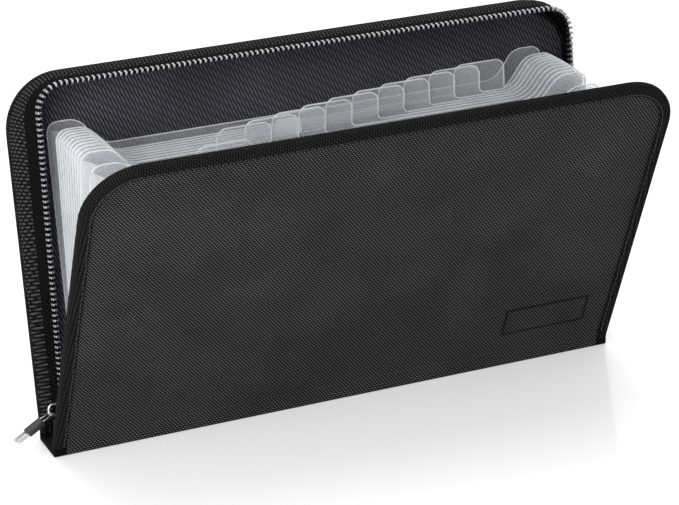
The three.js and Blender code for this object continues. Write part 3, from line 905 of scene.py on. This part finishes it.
# The bail: a rod bent into a staple over the outer plate
def makeBail():
    height, length, radius = slider["bailHeight"], slider["bailLength"], slider["bailRadius"]
    foot = radius - length / 2
    deselect()
    bpy.ops.mesh.primitive_circle_add(vertices=10, radius=radius * mm, fill_type="NOTHING",
                                      location=(0, 0, foot * mm), rotation=(0, math.radians(90), 0))
    obj = bpy.context.object
    obj.name = "slider_bail"
    bpy.ops.object.transform_apply(location=True, rotation=True, scale=True)
    bend = slider["bailBend"]
    reach = height - radius - bend
    run = length - 2 * radius - 2 * bend
    corners = [(-reach * mm, 0, at * mm) for at in (foot + bend, foot + bend + run)]
    editMesh(obj, "EDGE")
    bpy.ops.mesh.select_all(action="SELECT")
    bpy.ops.mesh.extrude_edges_move(TRANSFORM_OT_translate={"value": (-reach * mm, 0, 0)})
    bpy.ops.mesh.spin(steps=5, angle=math.radians(-90), center=corners[0], axis=(0, 1, 0))
    bpy.ops.mesh.extrude_edges_move(TRANSFORM_OT_translate={"value": (0, 0, run * mm)})
    bpy.ops.mesh.spin(steps=5, angle=math.radians(-90), center=corners[1], axis=(0, 1, 0))
    bpy.ops.mesh.extrude_edges_move(TRANSFORM_OT_translate={"value": (reach * mm, 0, 0)})
    bpy.ops.mesh.select_all(action="SELECT")
    bpy.ops.mesh.remove_doubles(threshold=0.00002)
    bpy.ops.mesh.edge_face_add()
    bpy.ops.mesh.fill_holes(sides=0)
    bpy.ops.object.mode_set(mode="OBJECT")
    checkOutward(obj)
    smooth(obj, 50)
    return obj


bail = makeBail()
backTurn = Matrix.Rotation(math.radians(-folder["backLean"]), 3, "X")
upWay = backTurn @ Vector((0, 0, 1))
foot = Vector(pull["pivot"]) + upWay * pull["sag"]
foot.x = -(folder["zipHalf"] + slider["gap"] + slider["wall"]) + 0.2
settle(bail, Matrix.Translation(foot * mm) @ backTurn.to_4x4())
dress(bail, pullMetal)
mount(bail, "slider", "zip_metal")

# Pull: its own frame has x along its length, y up when it lies level, z across its face
droop = math.radians(pull["droop"])
lengthWay = Vector((-math.cos(droop), 0, 0)) - upWay * math.sin(droop)
acrossWay = Vector((-1, 0, 0)).cross(upWay)
faceWay = lengthWay.cross(acrossWay)
pullPlace = Matrix.Translation(Vector(pull["pivot"]) * mm) @ Matrix(
    (lengthWay, acrossWay, faceWay)).transposed().to_4x4()


def flatPlate(name, left, right, halfWidth, thickness):
    deselect()
    bpy.ops.mesh.primitive_plane_add(size=1, location=((left + right) / 2 * mm, 0, -thickness / 2 * mm))
    obj = bpy.context.object
    obj.name = name
    obj.scale = ((right - left) * mm, 2 * halfWidth * mm, 1)
    bpy.ops.object.transform_apply(location=True, rotation=True, scale=True)
    return obj


def makePullFrame():
    start, end = -pull["rail"] / 2, pull["length"] - pull["rail"] / 2
    obj = flatPlate("pull_rails", start, end, pull["width"] / 2, pull["thickness"])
    roundCorners(obj, lambda p: True, 1.0, 4)
    editMesh(obj, "FACE")
    bpy.ops.mesh.select_all(action="SELECT")
    bpy.ops.mesh.inset(thickness=pull["rail"] * mm, depth=0)
    bpy.ops.mesh.delete(type="FACE")
    bpy.ops.mesh.select_all(action="SELECT")
    bpy.ops.mesh.extrude_region_move(TRANSFORM_OT_translate={"value": (0, 0, pull["thickness"] * mm)})
    bpy.ops.object.mode_set(mode="OBJECT")
    checkOutward(obj)
    applyModifier(obj, "BEVEL", width=0.22 * mm, segments=2, limit_method="ANGLE")
    smooth(obj, 45)
    return obj


rails = makePullFrame()
settle(rails, pullPlace)
dress(rails, pullMetal)
mount(rails, "pull", "pull_metal", "pull_frame")


def makeSleeve():
    half, rise = pull["width"] / 2 + 0.45, pull["thickness"] + 1.0
    length = pull["sleeveLength"]
    obj = addBox("pull_grip", (length, 2 * half, rise), (pull["sleeveStart"] + length / 2, 0, 0))
    editMesh(obj, "FACE")
    choose(obj, "faces", lambda f: abs(f.normal.z) > 0.9)
    bpy.ops.mesh.inset(thickness=0.7 * mm, depth=0.12 * mm, use_individual=True)
    bpy.ops.mesh.inset(thickness=0.5 * mm, depth=-0.1 * mm, use_individual=True)
    bpy.ops.object.mode_set(mode="OBJECT")
    applyModifier(obj, "BEVEL", width=0.28 * mm, segments=3, limit_method="ANGLE")
    smooth(obj, 45)
    return obj


grip = makeSleeve()
settle(grip, pullPlace)
dress(grip, sleeveFinish)
mount(grip, "pull", "pull_sleeve", "pull_sleeve")
print("slider and pull ready")


# Film leaves: ears at both ends, one tab each, a painted highlight along their edges
leaf = {"count": 12, "half": 115.0, "foot": 0.6, "top": 119.5,
        "ear": 131.5, "earWidth": 14.0, "earSlope": 9.5,
        "thickness": 0.3, "spread": 7.2, "z": 2.2, "tab": 24.5, "tabRise": 12.5, "tabPitch": 13.6,
        "firstTab": -83.6, "edge": 0.55, "closed": 2.8}


def leafLean(i):
    fromBack = leaf["count"] - 1 - i
    bunched = min(fromBack, 9)
    return 6.8 - 1.15 * bunched - 5.0 * (fromBack - bunched)


def leafHinge(i):
    return -leaf["spread"] / 2 + leaf["spread"] * i / (leaf["count"] - 1)


def leafPlace(i):
    return Matrix.Translation((0, leafHinge(i) * mm, leaf["z"] * mm)) @ Matrix.Rotation(
        -math.radians(leafLean(i)), 4, "X")


# A blend between base and cover eases in and out: this is the place on it that takes a share of the turn
def easePlace(share):
    share = min(0.99, max(0.0, share))
    return 0.5 - math.sin(math.asin(1 - 2 * share) / 3)


# The eased place for a share of one cover's turn is worked out, but the piece is only baked where it stands
def shareTurn(obj, cover, share):
    t = easePlace(share)
    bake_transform(obj)


def turnShare(i):
    if i < 0 or i >= leaf["count"]:
        return 1.0
    closedLean = leaf["closed"] * (-1 + 2 * (i + 1) / (leaf["count"] + 1))
    swing = folder["frontSwing"] if leafLean(i) < 0 else folder["backSwing"]
    return abs(closedLean - leafLean(i)) / swing


def followLeaf(obj, i):
    shareTurn(obj, "front_cover" if leafLean(i) < 0 else "back_cover", turnShare(i))


def sheetOutline(name, foot, tabLeft):
    half, top, ear = leaf["half"], leaf["top"], leaf["ear"]
    innerEar = half - leaf["earWidth"] - leaf["earSlope"]
    obj = addCard(name, -half, half, foot, top)
    cuts = [-innerEar, innerEar]
    if tabLeft is not None:
        cuts += [tabLeft, tabLeft + leaf["tab"]]
    editMesh(obj, "EDGE")
    for cut in cuts:
        bpy.ops.mesh.select_all(action="SELECT")
        bpy.ops.mesh.bisect(plane_co=(cut * mm, 0, 0), plane_no=(1, 0, 0))
    choose(obj, "edges", lambda e: middle(e).z > top - 0.1 and abs(middle(e).x) > innerEar)
    bpy.ops.mesh.extrude_edges_move(TRANSFORM_OT_translate={"value": (0, 0, (ear - top) * mm)})
    for end in (-1, 1):
        choose(obj, "verts", lambda v: v.co.z / mm > ear - 0.1 and abs(v.co.x / mm - end * innerEar) < 0.1)
        bpy.ops.transform.translate(value=(end * leaf["earSlope"] * mm, 0, 0))
    if tabLeft is not None:
        choose(obj, "edges", lambda e: abs(middle(e).z - top) < 0.1
               and abs(middle(e).x - tabLeft - leaf["tab"] / 2) < 0.1)
        bpy.ops.mesh.extrude_edges_move(TRANSFORM_OT_translate={"value": (0, 0, leaf["tabRise"] * mm)})
    bpy.ops.mesh.select_mode(type="FACE")
    bpy.ops.mesh.select_all(action="SELECT")
    bpy.ops.mesh.dissolve_faces()
    bpy.ops.mesh.dissolve_limited(angle_limit=math.radians(1))
    bpy.ops.object.mode_set(mode="OBJECT")
    roundCorners(obj, lambda p: p.z > ear - 0.1 and abs(p.x) > half - 1, 5.0, 6)
    roundCorners(obj, lambda p: p.z > ear - 0.1 and abs(abs(p.x) - half + leaf["earWidth"]) < 0.5, 4.0, 5)
    roundCorners(obj, lambda p: abs(p.z - top) < 0.1 and abs(abs(p.x) - innerEar) < 0.1, 4.5, 5)
    if tabLeft is not None:
        ends = (tabLeft, tabLeft + leaf["tab"])
        roundCorners(obj, lambda p: abs(p.z - top - leaf["tabRise"]) < 0.1
                     and min(abs(p.x - e) for e in ends) < 0.1, 4.2, 6)
        roundCorners(obj, lambda p: abs(p.z - top) < 0.1 and min(abs(p.x - e) for e in ends) < 0.1, 2.2, 4)
    return obj


def finishSheet(obj):
    editMesh(obj, "FACE")
    bpy.ops.mesh.select_all(action="SELECT")
    bpy.ops.mesh.inset(thickness=leaf["edge"] * mm, depth=0)
    bpy.ops.object.mode_set(mode="OBJECT")
    dress(obj, filmClear, filmEdgeHighlight)
    # the narrow rim band from the inset takes the edge finish: a painted highlight along each sheet's edge
    biggest = max(face.area for face in obj.data.polygons)
    for face in obj.data.polygons:
        face.material_index = 0 if face.area > biggest * 0.9 else 1
    applyModifier(obj, "SOLIDIFY", thickness=leaf["thickness"] * mm, offset=0)


for i in range(leaf["count"]):
    number = f"{i + 1:02d}"
    sheet = sheetOutline(f"film_leaf_{number}", leaf["foot"], leaf["firstTab"] + leaf["tabPitch"] * i)
    finishSheet(sheet)
    settle(sheet, leafPlace(i))
    followLeaf(sheet, i)
    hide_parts(f"pocket_leaf_{number}")

for side in ("front", "back"):
    sheet = sheetOutline(f"{side}_film_sheet", folder["foot"], None)
    finishSheet(sheet)
    settle(sheet, coverPlace[side] @ Matrix.Translation((0, 2.55 * mm, 0)))
    mount(sheet, f"{side}_cover", "film", f"{side}_pocket_sheet")

# A slip of paper in front of one tab
slip = {"leaf": 4, "side": 1.0, "foot": 2.0, "width": 12.5, "height": 7.6, "front": -0.3, "thickness": 0.16}
slipLeft = leaf["firstTab"] + slip["leaf"] * leaf["tabPitch"] + slip["side"]
slipFoot = leaf["top"] + slip["foot"]
slipTop = slipFoot + slip["height"]
label = addCard("tab_insert", slipLeft, slipLeft + slip["width"], slipFoot, slipTop, slip["front"])
roundCorners(label, lambda p: p.z > slipTop - 0.5, 3.0, 5)
applyModifier(label, "SOLIDIFY", thickness=slip["thickness"] * mm, offset=0)
settle(label, leafPlace(slip["leaf"]))
dress(label, labelFinish)
followLeaf(label, slip["leaf"])
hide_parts("tab_label")
print("leaves ready")


# Side pleats: film folded inwards between the sheets, a strip at each end of a sheet for each neighbour
pleat = {"foot": 3.0, "head": 128.5, "depth": -4.6, "gap": -0.3, "thickness": 0.22, "loose": 2}


def foldLine(i):  # -1 is the front end sheet and 12 the back one: a foot and a rise
    if 0 <= i < leaf["count"]:
        place = leafPlace(i)
    else:
        place = coverPlace["front" if i < 0 else "back"] @ Matrix.Translation((0, 2.55 * mm, 0))
    rise = place.to_3x3() @ Vector((0, 0, 1))
    return place.translation, rise


def makeFold(i, other, end):  # from the end of sheet i to the fold half way to the other sheet
    foot, rise = foldLine(i)
    farFoot, farRise = foldLine(other)
    deselect()
    bpy.ops.mesh.primitive_grid_add(x_subdivisions=3, y_subdivisions=6, size=1)
    strip = bpy.context.object
    for vertex in strip.data.vertices:
        across, along = vertex.co.x + 0.5, vertex.co.y + 0.5
        reach = (pleat["foot"] + (pleat["head"] - pleat["foot"]) * along) * mm
        near, far = foot + rise * reach, farFoot + farRise * reach
        point = near.lerp(far, 0.5 * across)
        point.x = end * (leaf["half"] + pleat["gap"] + pleat["depth"] * across ** 0.85) * mm
        vertex.co = point
    return strip


def finishPleats(obj, name):
    obj.name = name
    applyModifier(obj, "SOLIDIFY", thickness=pleat["thickness"] * mm, offset=0)
    dress(obj, filmPleat)
    smooth(obj, 40)


def makePleats(i):
    strips = [makeFold(i, other, end) for end in (-1, 1) for other in (i - 1, i + 1)
              if other <= leaf["count"] and min(i, other) >= pleat["loose"]]
    deselect()
    for strip in strips:
        strip.select_set(True)
    bpy.context.view_layer.objects.active = strips[0]
    bpy.ops.object.join()
    obj = bpy.context.object
    if i >= leaf["count"]:
        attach(obj, "back_cover")
    else:
        followLeaf(obj, i)
    finishPleats(obj, f"pleats_{i + 2:02d}")
    return obj


# A wide fold: the shares of the front cover's turn for its sheet's edge and its fold are worked out, but the
# strip is only baked where it stands
def makeWideFold(i, other, end):
    obj = makeFold(i, other, end)
    places = [easePlace(turnShare(i)), easePlace((turnShare(i) + turnShare(other)) / 2)]
    edge = end * (leaf["half"] + pleat["gap"]) * mm
    travel = end * pleat["depth"] * mm / (places[1] - places[0])
    start = edge - travel * places[0]
    start + travel
    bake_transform(obj)
    finishPleats(obj, f"{'left' if end < 0 else 'right'}_fold_{i + 2:02d}_{other + 2:02d}")


filmPleat = makeFilm("pleatFilm", 0.24, (0.80, 0.81, 0.86), 0.25)
for i in range(pleat["loose"], leaf["count"] + 1):
    strip = makePleats(i)
    if i == pleat["loose"]:
        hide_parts("left_pleats", "right_pleats")
for i in range(-1, pleat["loose"]):
    for end in (-1, 1):
        makeWideFold(i, i + 1, end)
        makeWideFold(i + 1, i, end)
print("pleats ready")


# The cloth that runs from each cover under the base
wrap = {"half": 130.6, "thickness": 0.5, "ribbonEdge": 125.5,
        "top": ((-0.75, 8.0), (-1.15, 5.0), (-1.5, 2.0)),
        "under": ((9.25, 1.9), (9.2, 1.2), (8.85, 0.65), (8.3, 0.4))}


def makeHingeStrip(side):
    sign = -1 if side == "front" else 1
    place = coverPlace[side]
    profile = [place @ (Vector((0, y, up)) * mm) / mm for y, up in wrap["top"]]
    profile += [Vector((0, sign * y, z)) for y, z in wrap["under"]]
    obj = addCard(f"{side}_hinge_cloth", -wrap["half"], wrap["half"], profile[1].z, profile[0].z)
    for vertex in obj.data.vertices:
        vertex.co.y = (profile[0].y if vertex.co.z / mm > profile[1].z + 0.1 else profile[1].y) * mm
    editMesh(obj, "EDGE")
    choose(obj, "edges", lambda e: middle(e).z < profile[1].z + 0.1)
    for near, far in zip(profile[1:], profile[2:]):
        bpy.ops.mesh.extrude_edges_move(TRANSFORM_OT_translate={"value": (far - near) * mm})
    for cut in (-wrap["ribbonEdge"], wrap["ribbonEdge"]):
        bpy.ops.mesh.select_all(action="SELECT")
        bpy.ops.mesh.bisect(plane_co=(cut * mm, 0, 0), plane_no=(1, 0, 0))
    bpy.ops.mesh.select_all(action="SELECT")
    bpy.ops.mesh.normals_make_consistent(inside=False)
    bpy.ops.object.mode_set(mode="OBJECT")
    if sum(face.normal.y * face.area for face in obj.data.polygons) * sign < 0:
        editMesh(obj, "FACE")
        bpy.ops.mesh.select_all(action="SELECT")
        bpy.ops.mesh.flip_normals()
        bpy.ops.object.mode_set(mode="OBJECT")
    applyModifier(obj, "SOLIDIFY", thickness=wrap["thickness"] * mm, offset=1)
    dress(obj, shellPlain, binding)
    for face in obj.data.polygons:
        face.material_index = 1 if abs(face.center.x) / mm > wrap["ribbonEdge"] else 0
    writeCloth(obj, lambda p, n: (p.x, p.z) if abs(p.x) < wrap["ribbonEdge"] + 0.1 else (p.z, p.x))
    smooth(obj, 60)
    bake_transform(obj)


for side in ("front", "back"):
    makeHingeStrip(side)

# The base strip, and the ribbon over its two ends
spineLow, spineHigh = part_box("base_spine")
spine = addBox("base_strip", (spineHigh - spineLow) / mm, (spineHigh + spineLow) / 2 / mm)
editMesh(spine, "EDGE")
choose(spine, "edges", lambda e: abs(e.verts[0].co.x - e.verts[1].co.x) > 0.1)
bpy.ops.mesh.bevel(offset=1.0 * mm, segments=4, affect="EDGES")
bpy.ops.object.mode_set(mode="OBJECT")
writeCloth(spine, lambda p, n: (p.x, p.y))
smooth(spine, 40)
dress(spine, shellPlain)
mount(spine, "base", "woven_shell", "base_spine")


endRibbon = {"size": (4.6, 18.2, 2.5), "x": 128.7}


def makeEndRibbon(end):
    name = f"{'left' if end < 0 else 'right'}_end_ribbon"
    obj = addBox(name, endRibbon["size"], (end * endRibbon["x"], 0, endRibbon["size"][2] / 2))
    editMesh(obj, "EDGE")
    choose(obj, "edges", lambda e: abs(middle(e).x - end * 131) < 0.1 or abs(middle(e).y) > 9)
    bpy.ops.mesh.bevel(offset=0.8 * mm, segments=4, affect="EDGES")
    bpy.ops.object.mode_set(mode="OBJECT")
    writeCloth(obj, lambda p, n: (p.y, p.x + p.z))
    smooth(obj, 40)
    dress(obj, binding)
    mount(obj, "base", "binding")


for end in (-1, 1):
    makeEndRibbon(end)
print("base and hinge cloth ready")
